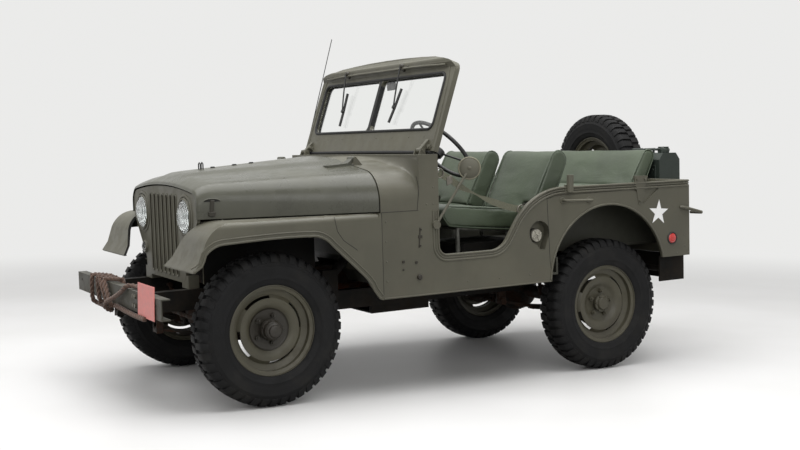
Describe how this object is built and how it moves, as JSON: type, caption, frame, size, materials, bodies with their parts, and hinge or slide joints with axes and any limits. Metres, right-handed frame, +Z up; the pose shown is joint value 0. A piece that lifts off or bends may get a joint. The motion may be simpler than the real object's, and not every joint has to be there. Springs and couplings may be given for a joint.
{
  "type": "open quarter-ton 4x4 utility vehicle",
  "caption": "Open olive drab army 4x4 car with round fenders, slotted grille, folding windscreen, canvas seats, spare wheel and tow rope.",
  "frame": {"origin": "on the ground, midway along the length and width of the bounding box; the point midway between the axles is 130 mm ahead of it", "axes": "+X forwards, +Y to the vehicle's left, +Z up"},
  "size_m": [3.5381, 1.5969, 1.9498],
  "materials": {
    "body_paint": "matte olive drab, dusty",
    "chassis_paint": "matte dark olive, dirty",
    "running_gear": "dull, greasy and rusty",
    "black_paint": "satin black",
    "wheel_paint": "matte dark olive, scuffed",
    "tyre_rubber": "dusty black",
    "seat_cloth": "satin green coated cloth",
    "clear_glass": "clear",
    "lamp_glass": "clear, faceted",
    "rope_fibre": "rough brown fibre",
    "webbing": "olive webbing",
    "can_paint": "satin dark green",
    "exhaust_steel": "rusted"
  },
  "bodies": {
    "chassis": {"frame": "chassis_paint", "front_bumper": "body_paint", "tow_rope": "rope_fibre", "front_axle": "running_gear", "rear_axle": "running_gear", "suspension": "running_gear", "powertrain": "running_gear", "exhaust": "exhaust_steel", "fuel_tank": "chassis_paint", "floor_pan": "body_paint", "body_side_left": "body_paint", "body_side_right": "body_paint", "rear_panel": "body_paint", "cowl": "body_paint", "grille": "body_paint", "front_fenders": "body_paint", "front_lamps": "lamp_glass", "steering_column": "black_paint", "seat_frames": "chassis_paint", "driver_seat": "seat_cloth", "rear_seat": "seat_cloth", "side_mirror": "body_paint", "antenna": "black_paint", "door_strap": "webbing", "rear_carriers": "body_paint", "jerry_can": "can_paint", "spare_tyre": "tyre_rubber", "spare_wheel": "wheel_paint"},
    "bonnet_lid": {"bonnet": "body_paint"},
    "windscreen": {"windscreen_frame": "body_paint", "windscreen_glass": "clear_glass"},
    "steering_wheel_body": {"steering_wheel": "black_paint"},
    "passenger_seat_body": {"passenger_frame": "chassis_paint", "passenger_seat": "seat_cloth"},
    "knuckle_left_body": {"knuckle_left": "running_gear"},
    "knuckle_right_body": {"knuckle_right": "running_gear"},
    "tie_rod_body": {"tie_rod": "running_gear"},
    "wheel_front_left_body": {"tyre_front_left": "tyre_rubber", "wheel_front_left": "wheel_paint"},
    "wheel_front_right_body": {"tyre_front_right": "tyre_rubber", "wheel_front_right": "wheel_paint"},
    "wheel_rear_left_body": {"tyre_rear_left": "tyre_rubber", "wheel_rear_left": "wheel_paint"},
    "wheel_rear_right_body": {"tyre_rear_right": "tyre_rubber", "wheel_rear_right": "wheel_paint"}
  },
  "joints": [
    {"name": "steer_left", "type": "hinge", "parent": "chassis", "child": "knuckle_left_body", "pos_m": [1.1585, 0.52, 0.372], "axis": [0, 0, 1], "range_deg": [-27, 27]},
    {"name": "steer_right", "type": "hinge", "parent": "chassis", "child": "knuckle_right_body", "pos_m": [1.1585, -0.52, 0.372], "axis": [0, 0, 1], "range_deg": [-27, 27]},
    {"name": "tie_rod_pivot", "type": "hinge", "parent": "knuckle_left_body", "child": "tie_rod_body", "pos_m": [1.3485, 0.52, 0.372], "axis": [0, 0, 1], "range_deg": [-27, 27]},
    {"name": "steering_wheel_turn", "type": "hinge", "parent": "chassis", "child": "steering_wheel_body", "pos_m": [0.02533, 0.39, 1.24908], "axis": [-0.7145, 0, 0.6997], "range_deg": [-460, 460]},
    {"name": "spin_front_left", "type": "hinge", "parent": "knuckle_left_body", "child": "wheel_front_left_body", "pos_m": [1.1585, 0.6225, 0.372], "axis": [0, 1, 0], "continuous": true},
    {"name": "spin_front_right", "type": "hinge", "parent": "knuckle_right_body", "child": "wheel_front_right_body", "pos_m": [1.1585, -0.6225, 0.372], "axis": [0, 1, 0], "continuous": true},
    {"name": "spin_rear_left", "type": "hinge", "parent": "chassis", "child": "wheel_rear_left_body", "pos_m": [-0.8985, 0.6225, 0.372], "axis": [0, 1, 0], "continuous": true},
    {"name": "spin_rear_right", "type": "hinge", "parent": "chassis", "child": "wheel_rear_right_body", "pos_m": [-0.8985, -0.6225, 0.372], "axis": [0, 1, 0], "continuous": true},
    {"name": "bonnet_hinge", "type": "hinge", "parent": "chassis", "child": "bonnet_lid", "pos_m": [0.60996, 0, 1.19965], "axis": [0, -1, 0], "range_deg": [0, 108]},
    {"name": "windscreen_fold", "type": "hinge", "parent": "chassis", "child": "windscreen", "pos_m": [0.34121, 0, 1.24005], "axis": [0, -1, 0], "range_deg": [-110, 0]},
    {"name": "passenger_seat_tip", "type": "hinge", "parent": "chassis", "child": "passenger_seat_body", "pos_m": [-0.04815, -0.38, 0.60625], "axis": [0, 1, 0], "range_deg": [0, 45]}
  ],
  "couplings": [
    {"joint": "steer_right", "follows": "steer_left", "ratio": 1},
    {"joint": "tie_rod_pivot", "follows": "steer_left", "ratio": -1},
    {"joint": "steering_wheel_turn", "follows": "steer_left", "ratio": 17}
  ]
}
